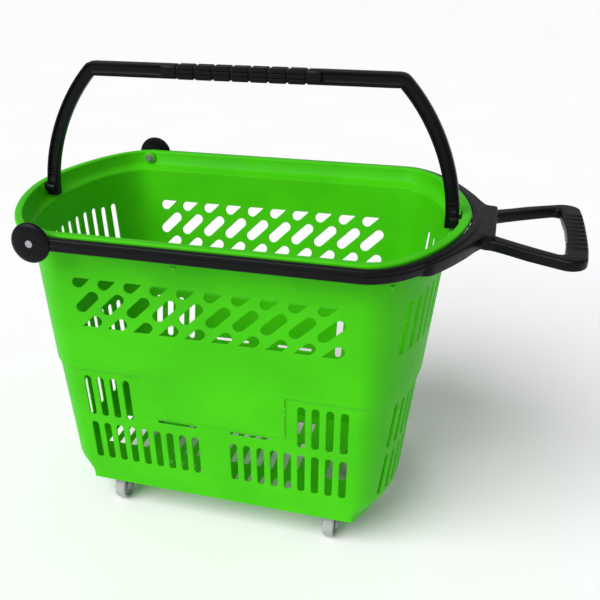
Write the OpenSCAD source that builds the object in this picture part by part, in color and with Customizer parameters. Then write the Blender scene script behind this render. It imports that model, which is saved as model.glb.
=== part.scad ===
// Four-wheel rolling shopping basket.
// Moulded green basket with slotted walls, a black carry handle that swings
// over the top, a black pull handle hinged on two side hubs, and four small
// swivel casters. Millimetres, +Z up. The origin is the bottom centre of the
// box around the whole object, on the floor.

/* [Basket] */
// Half length of the rim lip, end to end
rim_l = 287; // [275:1:300]
// Half width of the rim lip, side to side
rim_w = 189.5; // [184:0.5:196]
// Height of the rim above the floor
rim_z = 446; // [430:1:470]
// Thickness of the moulded walls
wall_t = 2.5; // [2:0.1:3.5]
// Height of the skirt edge above the floor
skirt_z = 46; // [44:1:50]
// Top of the basket floor above the wheels' floor
floor_z = 57.5; // [57:0.5:62]

/* [Slots] */
// Spacing of the slanted slots
slant_p = 34; // [32:0.5:38]
// Width of the slanted slots
slant_w = 14; // [10:0.5:17]
// Width of the upright slots in the long walls
side_w = 9.6; // [6:0.2:12]
// Width of the upright slots in the end walls
end_w = 8.4; // [5:0.2:11]

/* [Carry handle] */
// Top of the grip above the floor
carry_z = 606; // [602:1:607]
// Width of the legs, seen from the side
carry_leg = 16; // [14:0.5:17]
// Thickness of the legs, seen from the end
carry_d = 11; // [9:0.5:13]

/* [Pull handle] */
// Reach of the grip from the middle of the basket
pull_x = 416; // [400:1:440]
// Height of the arms
arm_h = 15.5; // [13:0.5:16]
// Thickness of the arms
arm_t = 9.5; // [8:0.5:11]
// Diameter of the round hubs
hub_d = 49; // [44:1:54]

/* [Casters] */
// Diameter of the wheels
wheel_d = 40; // [36:1:41]
// Width of the wheels
wheel_w = 15; // [12:0.5:16]
// Distance of the casters from the middle, end to end
caster_x = 154; // [140:1:158]
// Distance of the casters from the middle, side to side
caster_y = 73; // [66:1:86]
// Distance of the wheel behind its swivel pin
trail = 13; // [8:1:14]

/* [Which node] */
// Name of the one node to draw, or all of them

/* [Hidden] */
e = 0.01;
x0 = -(pull_x - rim_l)/2;       // moves the basket's middle so the box is centred
q = 8;                          // steps in each rounded corner of the plan
xs = 186;                       // half length of the straight part of the sides
piv_z = rim_z - 8;              // axis of the carry handle
hub_x = -193.5;                 // axis of the pull handle
hub_z = rim_z - 9;
step_z = 240;                   // level where the lower walls step inward
col_z = rim_z - 25;             // foot of the collar
band_z = rim_z - 19;            // foot of the collar's upright band
lip_in_l = rim_l - 11;
lip_in_w = rim_w - 11.5;
arm_z0 = rim_z - 18;            // underside of the pull handle's arms
wheel_r = wheel_d/2;
plate_z = floor_z - 4;        // top of the caster plates

green = [0.24, 0.72, 0.05];
black = [0.05, 0.05, 0.055];
steel = [0.66, 0.67, 0.68];
grey = [0.70, 0.70, 0.70];

// ---- plan outlines ----
function bz(a, b, c, d, t) = (1-t)*(1-t)*(1-t)*a + 3*(1-t)*(1-t)*t*b + 3*(1-t)*t*t*c + t*t*t*d;
// a corner from the end's tip (l, 0) to the start of the straight side (xs, w)
function qtr(l, w, kx, ky, n) = [for (i = [0:n]) let (t = 1 - i/n)
    [bz(xs, xs + kx*(l - xs), l, l, t), bz(w, w, ky*w, 0, t)]];
function loop(a) = let (m = len(a) - 1) concat(a,
    [for (i = [m:-1:0]) [-a[i][0], a[i][1]]],
    [for (i = [1:m]) [-a[i][0], -a[i][1]]],
    [for (i = [m:-1:1]) [a[i][0], -a[i][1]]]);
function plan(l, w, kx, ky, n = q) = loop(qtr(l, w, kx, ky, n));
function ring(z, l, w, kx, ky) = [for (p = plan(l, w, kx, ky)) [p[0], p[1], z]];

// outer half width and half length of the walls at height z
function wu(z) = rim_w - 37 + 0.125*(z - 345);
function lu(z) = rim_l - 29 + 0.08*(z - 345);
function wl(z) = wu(z) - 2;
function ll(z) = lu(z) - 3.5;
fx = 0.68; fy = 0.48;           // fullness of the lower wall corners
ux = 0.6;  uy = 0.44;           // fullness of the wall corners at the top
gx = 0.53; gy = 0.395;          // fullness of the rim corners

module skin(rings) {
    n = len(rings[0]);
    k = len(rings);
    pts = [for (r = rings) for (p = r) p];
    sides = [for (j = [0:k-2]) for (i = [0:n-1]) let (i2 = (i+1)%n,
        a = j*n+i, b = j*n+i2, c = (j+1)*n+i2, d = (j+1)*n+i)
        each [[a, c, b], [a, d, c]]];
    polyhedron(points = pts, faces = concat(
        [[for (i = [0:n-1]) i]],
        sides,
        [[for (i = [n-1:-1:0]) (k-1)*n+i]]), convexity = 12);
}

module shell() {
    t = wall_t;
    zb = floor_z - t;
    skin([
        ring(zb, rim_l-60-t, wl(zb)-t, 0.12, 0.1),
        ring(skirt_z, rim_l-60-t, wl(skirt_z)-t, 0.12, 0.1),
        ring(skirt_z, rim_l-60, wl(skirt_z), 0.12, 0.1),
        ring(skirt_z+10, rim_l-59.5, wl(skirt_z+10)-0.8, 0.12, 0.1),
        ring(skirt_z+19, rim_l-57, wl(skirt_z+19), 0.42, 0.3),
        ring(skirt_z+32, ll(skirt_z+32), wl(skirt_z+32), fx, fy),
        ring(step_z-2, ll(step_z-2), wl(step_z-2), fx, fy),
        ring(step_z+0.5, lu(step_z), wu(step_z), fx, fy),
        ring(col_z-2, lu(col_z), wu(col_z), ux, uy),
        ring(band_z-2, lip_in_l+t-1.5, lip_in_w+t-3, gx, gy),
        ring(rim_z-2.5, lip_in_l+t, lip_in_w+t, gx, gy),
        ring(rim_z-2.5, rim_l-2, rim_w-2, gx, gy),
        ring(rim_z-6, rim_l-2, rim_w-2, gx, gy),
        ring(rim_z-6, rim_l, rim_w, gx, gy),
        ring(rim_z-1.2, rim_l, rim_w, gx, gy),
        ring(rim_z, rim_l-1.2, rim_w-1.2, gx, gy),
        ring(rim_z, lip_in_l+1, lip_in_w+1, gx, gy),
        ring(rim_z-1, lip_in_l, lip_in_w, gx, gy),
        ring(band_z, lip_in_l-1.5, lip_in_w-3, gx, gy),
        ring(col_z, lu(col_z)-t, wu(col_z)-t, ux, uy),
        ring(step_z+1.5, lu(step_z)-t, wu(step_z)-t, fx, fy),
        ring(step_z-1, ll(step_z)-t, wl(step_z)-t, fx, fy),
        ring(skirt_z+33, ll(skirt_z+33)-t, wl(skirt_z+33)-t, fx, fy),
        ring(skirt_z+20.5, rim_l-57-t, wl(skirt_z+20.5)-t, 0.42, 0.3),
        ring(floor_z, rim_l-59.5-t, wl(floor_z)-t, 0.12, 0.1)
    ]);
}

// a round-ended slot outline of the given length and width, along X
module slot2(len, w) hull() for (s = [-1, 1]) translate([s*(len - w)/2, 0]) rotate(30) circle(d = w, $fn = 6);

// label panel that stands proud of the lower wall
module panel(s) {
    z1 = 176; z2 = step_z + 0.8;
    pw = 97;
    y = [wu(z1)-2.4, wu(z1)-0.3, wu(z2)-2.4, wu(z2)-0.3];
    pts = [for (x = [-pw, pw]) each [[x, y[0], z1], [x, y[1], z1], [x, y[3], z2], [x, y[2], z2]]];
    mirror([0, s < 0 ? 1 : 0, 0])
    polyhedron(pts, [[0,1,2,3], [7,6,5,4], [4,5,1,0], [5,6,2,1], [6,7,3,2], [7,4,0,3]]);
}

module side_cuts() {
    // three rows of slanted slots, the top and bottom rows cut off level
    rotate([90, 0, 0]) translate([0, 0, -260]) {
        linear_extrude(520) for (i = [0:9]) translate([(i-4.5)*slant_p, 345.5]) rotate(45) slot2(25.6 + slant_w, slant_w);
        linear_extrude(520) intersection() {
            union() for (i = [0:9]) {
                translate([(i-4.5)*slant_p, 381]) rotate(45) slot2(25.6 + slant_w, slant_w);
                translate([(i-4.5)*slant_p, 310]) rotate(45) slot2(25.6 + slant_w, slant_w);
            }
            translate([0, 344]) square([480, 70], center = true);
        }
        // upright slots in the lower wall
        linear_extrude(520) for (s = [-1, 1]) {
            for (i = [0:8]) translate([s*(26.6 + 18.2*i), 119]) rotate(90) slot2(64, side_w);
            for (i = [5:8]) translate([s*(26.6 + 18.2*i), 196]) rotate(90) slot2(66, side_w);
            translate([s*50, 168.5]) slot2(54, 4.6);
        }
    }
}

module end_cuts() {
    rotate([90, 0, 90]) translate([0, 0, -340]) linear_extrude(680) {
        for (k = [-6:6]) translate([k*20 - 0.017*k*k*k, 347 - (abs(k) > 4 ? 1.8 : 0)]) rotate(90) slot2(abs(k) > 4 ? 68.4 : 72, end_w);
        for (k = [-5:5]) {
            translate([k*19.4 - 0.012*k*k*k, 197]) rotate(90) slot2(66, end_w);
            translate([k*18.8 - 0.012*k*k*k, 119]) rotate(90) slot2(64, end_w);
        }
    }
}

module floor_cuts() {
    translate([0, 0, floor_z - 12]) linear_extrude(24) {
        for (i = [-5:5]) {
            translate([i*18, 0]) square([9.4, 76], center = true);
            for (s = [-1, 1]) translate([i*18, s*79]) square([9.4, 38], center = true);
        }
        for (s = [-1, 1]) for (i = [0:3]) translate([s*(140 + 18*i), 0]) square([9.4, 76], center = true);
    }
}

// a flat ring sector between two radii and two angles
module sector(r1, r2, a, b, n = 12)
    polygon(concat([for (i = [0:n]) let (t = a + (b - a)*i/n) r2*[cos(t), sin(t)]],
        [for (i = [n:-1:0]) let (t = a + (b - a)*i/n) r1*[cos(t), sin(t)]]));

module basket() color(green) {
    difference() {
        union() {
            shell();
            for (s = [-1, 1]) panel(s);
            // seats for the hubs
            for (s = [-1, 1]) translate([hub_x, 0, hub_z]) rotate([-s*90, 0, 0]) {
                translate([0, 0, lip_in_w - 5.8]) cylinder(h = rim_w - lip_in_w + 6.5, d = 17.4, $fn = 32);
                translate([0, 0, rim_w]) linear_extrude(4.2) sector(6.2, 8.2, s > 0 ? 78 : -102, s > 0 ? 102 : -78);
            }
            // sockets for the carry handle
            for (s = [-1, 1]) translate([s*(lip_in_l+0.5), 0, piv_z]) rotate([0, s*90, 0]) cylinder(h = 9.5, d = 15.4, $fn = 32);
            // guide ribs each side of the carry handle's feet
            for (s = [-1, 1]) for (v = [-1, 1]) translate([s*(lip_in_l-1.3), v*15, band_z+9.7]) cube([2.6, 2.4, 13.6], center = true);
            // rests for the pull handle
            for (v = [-1, 1]) translate([rim_l-4, v*46, arm_z0-4.9]) cube([26, 8, 5], center = true);
            // pads for the caster plates
            for (s = [-1, 1]) for (v = [-1, 1]) translate([s*caster_x, v*caster_y, plate_z]) translate([-24, -22, 0]) cube([48, 44, floor_z - plate_z - 1]);
        }
        side_cuts();
        end_cuts();
        floor_cuts();
        // rivet holes
        for (s = [-1, 1]) translate([hub_x, s*(lip_in_w-12), hub_z]) rotate([-s*90, 0, 0]) cylinder(h = 40, d = 7.12, $fn = 32);
        // carry handle bores
        for (s = [-1, 1]) translate([s*(lip_in_l-8), 0, piv_z]) rotate([0, s*90, 0]) cylinder(h = 16.5, d = 10.1, $fn = 32);
        // screw holes of the casters
        for (s = [-1, 1]) for (v = [-1, 1]) for (i = [-1, 1]) for (j = [-1, 1])
            translate([s*caster_x + i*18, v*caster_y + j*16, plate_z-1]) cylinder(h = 3.4, d = 3.4, $fn = 12);
    }
}

// ---- carry handle ----
// centre line of one leg, from the hinge up to the grip: half span and height
cz = carry_z;
bar_h = 17.4;                   // height of the bar between the legs
leg_x = 264.5;                  // half span between the middles of the feet
function leg_c(n) = [for (i = [0:n]) let (t = i/n)
    [bz(leg_x, 264, 239.3, 198, t), bz(piv_z, piv_z+50, cz-55, cz-12.4, t)]];
function dir(a, i) = let (p = a[max(0, i-1)], r = a[min(len(a)-1, i+1)], d = r - p) d/norm(d);
function side(a, w) = [for (i = [0:len(a)-1]) let (d = dir(a, i)) a[i] + [d[1], -d[0]]*w];
function rev(a) = [for (i = [len(a)-1:-1:0]) a[i]];
leg_n = 14;
// outline of the legs and the bar, inset all round by g
module arch2(g, z0) {
    w = carry_leg/2 - g;
    a = leg_c(leg_n);
    o = side(a, w);
    i = side(a, -w);
    polygon(concat(
        [[leg_x + w, z0]], o, [[196.5, cz - 1.6 - g], [188, cz - g]],
        [[-188, cz - g], [-196.5, cz - 1.6 - g]], [for (p = rev(o)) [-p[0], p[1]]], [[-leg_x - w, z0]],
        [[-leg_x + w, z0]], [for (p = i) [-p[0], p[1]]], [[-186, cz - bar_h + g]],
        [[186, cz - bar_h + g]], rev(i), [[leg_x - w, z0]]));
}
module carry_handle() color(black) {
    w = carry_leg/2;
    d = carry_d;
    bz0 = cz - bar_h/2;
    difference() {
        union() {
            // flanged section: full width at the rims, thinner in the middle
            rotate([90, 0, 0]) translate([0, 0, -d/2]) linear_extrude(d) arch2(0, piv_z - 8.5);
            // grip core
            translate([1, 0, bz0]) cube([196, 14.4, bar_h - 2.4], center = true);
            // smooth sleeves at the grip's ends
            translate([-88.5, 0, bz0]) cube([19, 16, bar_h - 0.2], center = true);
            translate([92, 0, bz0]) cube([16, 16, bar_h - 0.2], center = true);
            // ringed pads of the grip
            for (i = [0:6]) translate([(i - 3)*23 + 2.5, 0, bz0]) {
                cube([20.6, 16, bar_h - 0.6], center = true);
                for (v = [-1, 1]) for (k = [-1, 0, 1]) translate([0, v*8, k*5.4]) cube([17.8, 2.4, 4], center = true);
            }
            // hinge pegs
            for (s = [-1, 1]) translate([s*(leg_x + w - 3), 0, piv_z]) rotate([0, s*90, 0]) cylinder(h = 13.4, d = 10, $fn = 48);
            for (s = [-1, 1]) translate([s*(leg_x + w - 3), 0, piv_z]) rotate([0, s*90, 0]) cylinder(h = 4.2, d = 14, $fn = 48);
        }
        // recessed channel on both faces of the legs
        for (v = [-1, 1]) rotate([90, 0, 0]) translate([0, 0, v > 0 ? d/2 - 3 : -d/2 - 1]) linear_extrude(4)
            difference() {
                arch2(3, piv_z - 4);
                translate([-98, cz - 30]) square([198, 60]);
                for (s = [-1, 1]) translate([s*leg_x - 12, piv_z - 14]) square([24, 26]);
            }
    }
}

// ---- pull handle ----
function prim(g) = plan(rim_l + g, rim_w + g, gx, gy, 10);
// far side of the end yoke, one half
arm_z1 = arm_z0 + arm_h;
gz0 = arm_z0 - 4;   // underside of the grip loop
gz1 = gz0 + 13;     // top of the grip loop
px = pull_x;
function fil(p, a, b, r, n) = [for (i = [0:n]) let (t = a + (b - a)*i/n) p + r*[cos(t), sin(t)]];
loop_out = concat([[rim_l + 14, 57], [px - 102, 57.5], [px - 86, 66.5], [px - 65, 79.5]],
    fil([px - 21, 79.5], 110, 15, 19, 5),
    [[px - 1, 60], [px - 0.2, 30], [px, 0]]);
loop_in = concat([[px - 99.5, 37.5], [px - 73, 55], [px - 50, 69]], fil([px - 31.7, 72.3], 110, 8, 6.2, 4), [[px - 24.5, 52], [px - 22.4, 26], [px - 21.8, 0]]);
function mir(a) = concat(a, [for (i = [len(a)-1:-1:0]) if (a[i][1] > 0) [a[i][0], -a[i][1]]]);
module pull_handle() color(black) {
    difference() {
        union() {
            // the two arms and the bow that joins them round the basket's end
            translate([0, 0, arm_z0]) linear_extrude(arm_h) difference() {
                polygon(prim(1 + arm_t));
                polygon(prim(1));
                translate([hub_x - 400, -400]) square([400, 800]);
            }
            // ridge along the outside of the arms
            translate([0, 0, arm_z0 + 6]) linear_extrude(3.5) difference() {
                polygon(prim(1.8 + arm_t));
                polygon(prim(4));
                translate([hub_x - 400, -400]) square([400, 800]);
                translate([rim_l - 40, -400]) square([200, 800]);
            }
            // end yoke
            translate([0, 0, arm_z0 - 2]) linear_extrude(arm_h) difference() {
                polygon(mir([[rim_l - 60, 162], [rim_l - 32, 155], [rim_l - 24, 143], [rim_l - 11, 119], [rim_l + 1, 93.5],
                    [rim_l + 9, 73], [rim_l + 16, 58], [px - 100, 57.4]]));
                polygon(prim(1));
            }
            // grip loop
            translate([0, 0, gz0]) linear_extrude(13) difference() {
                polygon(mir(loop_out));
                polygon(mir(loop_in));
                polygon(prim(1));
            }
            // finger ribs of the grip
            for (i = [-4:4]) translate([px - 12, i*14, gz0 + 6.5]) cube([20, 5, 15.4], center = true);
            // hubs
            for (s = [-1, 1]) translate([hub_x, s*(rim_w + 1), hub_z]) rotate([-s*90, 0, 0]) {
                cylinder(h = 8, d = 30, $fn = 96);
                translate([0, 0, 6.2]) cylinder(h = 5.4, d = hub_d, $fn = 96);
                translate([0, 0, 11.5]) cylinder(h = 3.4, d1 = hub_d - 4, d2 = 26, $fn = 96);
            }
        }
        for (s = [-1, 1]) translate([hub_x, s*(rim_w - 2), hub_z]) rotate([-s*90, 0, 0]) {
            cylinder(h = 30, d = 7.1, $fn = 48);
            translate([0, 0, 15.2]) cylinder(h = 10, d = 11, $fn = 48);
            // room for the hub's seat
            translate([0, 0, -4]) cylinder(h = 7, d = 18.4, $fn = 48);
            // pocket for the stop on the hub's seat
            linear_extrude(6.5) sector(5.6, 8.6, s > 0 ? 77 : -238, s > 0 ? 238 : -77, 16);
        }
    }
}

// ---- hub rivets and washers ----
module hub_rivet(s) color(steel) translate([hub_x, 0, hub_z]) rotate([-s*90, 0, 0]) {
    translate([0, 0, lip_in_w - 7.6]) cylinder(h = rim_w - lip_in_w + 7.6 + 13.4, d = 7, $fn = 48);
    translate([0, 0, rim_w + 13.25]) cylinder(h = 2.2, d = 9, $fn = 48);
    translate([0, 0, lip_in_w - 9]) cylinder(h = 1.6, d = 9.4, $fn = 48);
}
module hub_washer(s) color(steel) translate([hub_x, 0, hub_z]) rotate([-s*90, 0, 0]) difference() {
    translate([0, 0, lip_in_w - 7.35]) cylinder(h = 1.5, d = 12, $fn = 48);
    translate([0, 0, lip_in_w - 12]) cylinder(h = 8, d = 7.1, $fn = 48);
}

// ---- casters ----
// sx, sy pick the corner; each caster stands with its axle along X
module at_caster(sx, sy) translate([sx*caster_x, sy*caster_y, 0]) children();
module caster_plate() color(steel) difference() {
    translate([-23, -21, plate_z - 2]) cube([46, 42, 1.98]);
    translate([0, 0, plate_z - 5]) cylinder(h = 10, d = 8.1, $fn = 48);
    for (i = [-1, 1]) for (j = [-1, 1]) translate([i*18, j*16, plate_z - 5]) cylinder(h = 10, d = 4, $fn = 24);
}
module caster_fork() color(grey) {
    fz = plate_z - 2.4;
    difference() {
        union() {
            translate([0, 0, fz - 5]) cylinder(h = 5, d = 29, $fn = 64);
            for (s = [-1, 1]) translate([s*(wheel_w/2 + 0.7 + 1.5), 0, 0]) rotate([90, 0, 90]) translate([0, 0, -1.5]) linear_extrude(3)
                polygon([[-9, fz - 0.5], [12, fz - 0.5], [12, fz - 12], [-trail + 8, wheel_r - 4], [-trail + 4, wheel_r - 7], [-trail - 4, wheel_r - 7], [-trail - 8, wheel_r - 3], [-trail - 8, wheel_r + 6]]);
        }
        translate([0, 0, fz - 10]) cylinder(h = 20, d = 8.1, $fn = 48);
        translate([-30, -trail, wheel_r]) rotate([0, 90, 0]) cylinder(h = 60, d = 5.02, $fn = 48);
        // room for the wheel's top
        translate([-wheel_w/2 - 0.7, -trail, wheel_r]) rotate([0, 90, 0]) cylinder(h = wheel_w + 1.4, r = wheel_r + 2, $fn = 64);
    }
}
module caster_wheel() color(grey) translate([0, -trail, wheel_r]) rotate([0, 90, 0]) difference() {
    union() {
        translate([0, 0, -wheel_w/2]) cylinder(h = wheel_w, r = wheel_r - 1.2, $fn = 96);
        translate([0, 0, -wheel_w/2 + 1.2]) cylinder(h = wheel_w - 2.4, r = wheel_r, $fn = 96);
    }
    translate([0, 0, -20]) cylinder(h = 40, d = 5.1, $fn = 48);
    for (s = [-1, 1]) translate([0, 0, s > 0 ? wheel_w/2 - 2 : -wheel_w/2 - 1]) difference() {
        cylinder(h = 3, r = wheel_r - 4, $fn = 64);
        translate([0, 0, -1]) cylinder(h = 5, r = 5.5, $fn = 48);
    }
}
module caster_axle() color(steel) translate([0, -trail, wheel_r]) rotate([0, 90, 0]) {
    cylinder(h = wheel_w + 9, d = 5, center = true, $fn = 48);
    for (s = [-1, 1]) translate([0, 0, s*(wheel_w/2 + 0.7 + 3 + 0.95)]) cylinder(h = 1.8, d = 8, center = true, $fn = 48);
}
module king_pin() color(steel) {
    translate([0, 0, plate_z - 2.4 - 5.6]) cylinder(h = 8, d = 8, $fn = 48);
    translate([0, 0, plate_z - 2.4 - 7]) cylinder(h = 1.6, d = 12, $fn = 48);
}
module plate_screws() color(steel) for (i = [-1, 1]) for (j = [-1, 1]) translate([i*18, j*16, 0]) {
    translate([0, 0, plate_z - 4]) cylinder(h = 2, d = 7, $fn = 24);
    translate([0, 0, plate_z - 3]) cylinder(h = 5.2, d = 3, $fn = 24);
}

translate([x0, 0, 0]) basket();
translate([x0, 0, 0]) carry_handle();
translate([x0, 0, 0]) pull_handle();
translate([x0, 0, 0]) hub_rivet(-1);  // hub_rivet_front
translate([x0, 0, 0]) hub_rivet(1);  // hub_rivet_back
translate([x0, 0, 0]) hub_washer(-1);  // hub_washer_front
translate([x0, 0, 0]) hub_washer(1);  // hub_washer_back
translate([x0, 0, 0]) at_caster(-1, -1) caster_plate();  // plate_fl
translate([x0, 0, 0]) at_caster(1, -1) caster_plate();  // plate_fr
translate([x0, 0, 0]) at_caster(-1, 1) caster_plate();  // plate_bl
translate([x0, 0, 0]) at_caster(1, 1) caster_plate();  // plate_br
translate([x0, 0, 0]) at_caster(-1, -1) king_pin();  // king_pin_fl
translate([x0, 0, 0]) at_caster(1, -1) king_pin();  // king_pin_fr
translate([x0, 0, 0]) at_caster(-1, 1) king_pin();  // king_pin_bl
translate([x0, 0, 0]) at_caster(1, 1) king_pin();  // king_pin_br
translate([x0, 0, 0]) at_caster(-1, -1) caster_fork();  // fork_fl
translate([x0, 0, 0]) at_caster(1, -1) caster_fork();  // fork_fr
translate([x0, 0, 0]) at_caster(-1, 1) caster_fork();  // fork_bl
translate([x0, 0, 0]) at_caster(1, 1) caster_fork();  // fork_br
translate([x0, 0, 0]) at_caster(-1, -1) caster_wheel();  // wheel_fl
translate([x0, 0, 0]) at_caster(1, -1) caster_wheel();  // wheel_fr
translate([x0, 0, 0]) at_caster(-1, 1) caster_wheel();  // wheel_bl
translate([x0, 0, 0]) at_caster(1, 1) caster_wheel();  // wheel_br
translate([x0, 0, 0]) at_caster(-1, -1) caster_axle();  // axle_fl
translate([x0, 0, 0]) at_caster(1, -1) caster_axle();  // axle_fr
translate([x0, 0, 0]) at_caster(-1, 1) caster_axle();  // axle_bl
translate([x0, 0, 0]) at_caster(1, 1) caster_axle();  // axle_br
translate([x0, 0, 0]) at_caster(-1, -1) plate_screws();  // screws_fl
translate([x0, 0, 0]) at_caster(1, -1) plate_screws();  // screws_fr
translate([x0, 0, 0]) at_caster(-1, 1) plate_screws();  // screws_bl
translate([x0, 0, 0]) at_caster(1, 1) plate_screws();  // screws_br
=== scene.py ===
import bpy, bmesh, math
import numpy as np
from mathutils import Vector, Matrix
from mathutils.geometry import delaunay_2d_cdt


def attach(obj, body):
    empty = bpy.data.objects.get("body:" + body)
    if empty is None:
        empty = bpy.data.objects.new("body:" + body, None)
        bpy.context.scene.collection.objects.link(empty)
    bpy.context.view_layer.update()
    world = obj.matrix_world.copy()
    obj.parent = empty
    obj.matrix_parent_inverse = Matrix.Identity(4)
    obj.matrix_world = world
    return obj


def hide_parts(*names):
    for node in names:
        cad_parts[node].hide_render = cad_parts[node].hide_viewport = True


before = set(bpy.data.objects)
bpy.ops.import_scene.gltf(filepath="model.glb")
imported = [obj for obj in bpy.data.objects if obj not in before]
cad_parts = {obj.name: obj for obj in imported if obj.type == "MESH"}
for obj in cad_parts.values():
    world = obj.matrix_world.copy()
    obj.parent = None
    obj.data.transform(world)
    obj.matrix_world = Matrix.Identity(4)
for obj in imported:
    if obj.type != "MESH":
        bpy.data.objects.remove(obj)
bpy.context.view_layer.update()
X0 = -64.5  # the basket's middle, mm
sc = bpy.context.scene
sc.view_settings.view_transform = "Standard"

# ------------------------------------------------------------------ materials
def new_mat(name):
    m = bpy.data.materials.new(name)
    m.use_nodes = True
    nt = m.node_tree
    nt.nodes.clear()
    out = nt.nodes.new("ShaderNodeOutputMaterial")
    b = nt.nodes.new("ShaderNodeBsdfPrincipled")
    nt.links.new(b.outputs[0], out.inputs[0])
    return m, nt, b


def noise(nt, scale, detail=3.0, rough=0.55, vec=None):
    n = nt.nodes.new("ShaderNodeTexNoise")
    n.inputs["Scale"].default_value = scale
    n.inputs["Detail"].default_value = detail
    n.inputs["Roughness"].default_value = rough
    if vec:
        nt.links.new(vec, n.inputs["Vector"])
    return n


def ramp(nt, src, a, b, lo=0.35, hi=0.65):
    r = nt.nodes.new("ShaderNodeMapRange")
    r.inputs["From Min"].default_value = lo
    r.inputs["From Max"].default_value = hi
    r.inputs["To Min"].default_value = a
    r.inputs["To Max"].default_value = b
    nt.links.new(src, r.inputs["Value"])
    return r.outputs[0]


def mixc(nt, fac, a, b):
    m = nt.nodes.new("ShaderNodeMix")
    m.data_type = "RGBA"
    nt.links.new(fac, m.inputs["Factor"])
    for k, v in ((6, a), (7, b)):
        if hasattr(v, "is_output"):
            nt.links.new(v, m.inputs[k])
        else:
            m.inputs[k].default_value = (*v, 1)
    return m.outputs[2]


def plastic(name, col, dark, rough, grain, ior=1.48, wear=(1, 1, 1), wear_amt=0.12, spec=0.4, sss=0.0):
    """Moulded plastic: slow colour drift, fine moulded grain, faint scuffs and rubbed edges."""
    m, nt, b = new_mat(name)
    tc = nt.nodes.new("ShaderNodeTexCoord").outputs["Object"]
    n1 = noise(nt, 9.0, 3, vec=tc)
    n2 = noise(nt, 160.0, 4, vec=tc)
    c = mixc(nt, ramp(nt, n1.outputs[0], 0, 1), dark, col)
    # rubbed edges
    geo = nt.nodes.new("ShaderNodeNewGeometry")
    edge = ramp(nt, geo.outputs["Pointiness"], 0, wear_amt, 0.53, 0.62)
    c = mixc(nt, edge, c, wear)
    # scuffs: thin stretched noise
    mp = nt.nodes.new("ShaderNodeMapping")
    mp.inputs["Scale"].default_value = (1.0, 1.0, 14.0)
    mp.inputs["Rotation"].default_value = (0.35, 0.2, 0.6)
    nt.links.new(tc, mp.inputs[0])
    n3 = noise(nt, 22.0, 5, 0.6, vec=mp.outputs[0])
    scuff = ramp(nt, n3.outputs[0], 0, 0.10, 0.62, 0.72)
    c = mixc(nt, scuff, c, wear)
    nt.links.new(c, b.inputs["Base Color"])
    r1 = ramp(nt, n2.outputs[0], rough - 0.05, rough + 0.07, 0.3, 0.7)
    add = nt.nodes.new("ShaderNodeMath"); add.operation = "ADD"
    nt.links.new(r1, add.inputs[0]); nt.links.new(scuff, add.inputs[1])
    nt.links.new(add.outputs[0], b.inputs["Roughness"])
    n4 = noise(nt, 1500.0, 2, vec=tc)
    n5 = noise(nt, 60.0, 2, vec=tc)
    bp1 = nt.nodes.new("ShaderNodeBump"); bp1.inputs["Strength"].default_value = grain
    bp1.inputs["Distance"].default_value = 0.0002
    nt.links.new(n4.outputs[0], bp1.inputs["Height"])
    bp2 = nt.nodes.new("ShaderNodeBump"); bp2.inputs["Strength"].default_value = 0.25
    bp2.inputs["Distance"].default_value = 0.0004
    nt.links.new(n5.outputs[0], bp2.inputs["Height"]); nt.links.new(bp1.outputs[0], bp2.inputs["Normal"])
    nt.links.new(bp2.outputs[0], b.inputs["Normal"])
    b.inputs["IOR"].default_value = ior
    b.inputs["Specular IOR Level"].default_value = spec
    if sss:
        b.inputs["Subsurface Weight"].default_value = sss
        b.inputs["Subsurface Radius"].default_value = (0.4, 1.0, 0.2)
        b.inputs["Subsurface Scale"].default_value = 0.004
    return m


def metal(name, col, rough):
    m, nt, b = new_mat(name)
    tc = nt.nodes.new("ShaderNodeTexCoord").outputs["Object"]
    n1 = noise(nt, 300.0, 4, vec=tc)
    n2 = noise(nt, 40.0, 3, vec=tc)
    c = mixc(nt, ramp(nt, n2.outputs[0], 0, 1), tuple(v * 0.82 for v in col), col)
    nt.links.new(c, b.inputs["Base Color"])
    nt.links.new(ramp(nt, n1.outputs[0], rough - 0.08, rough + 0.12, 0.3, 0.7), b.inputs["Roughness"])
    bp1 = nt.nodes.new("ShaderNodeBump"); bp1.inputs["Strength"].default_value = 0.15
    bp1.inputs["Distance"].default_value = 0.0002
    nt.links.new(n1.outputs[0], bp1.inputs["Height"]); nt.links.new(bp1.outputs[0], b.inputs["Normal"])
    b.inputs["Metallic"].default_value = 0.85
    return m


GREEN = plastic("green_plastic", (0.056, 0.55, 0.002), (0.047, 0.48, 0.002), 0.42, 0.10, wear=(0.16, 0.70, 0.06), wear_amt=0.12, spec=0.12)
# black plastic: the near-black is its own colour, but the slight blue in its base and edge colours is a painted
# bluish sheen standing in for reflections
BLACK = plastic("black_plastic", (0.0030, 0.0030, 0.0046), (0.0022, 0.0022, 0.0034), 0.36, 0.16, wear=(0.03, 0.03, 0.04), wear_amt=0.18, spec=0.14)
GREY = plastic("grey_nylon", (0.40, 0.41, 0.41), (0.35, 0.36, 0.36), 0.42, 0.2, wear=(0.50, 0.50, 0.50), spec=0.35)
FORKM = plastic("fork_nylon", (0.34, 0.345, 0.34), (0.30, 0.305, 0.30), 0.4, 0.2, wear=(0.5, 0.5, 0.5), spec=0.35)
ZINC = metal("zinc", (0.46, 0.47, 0.49), 0.40)

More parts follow.
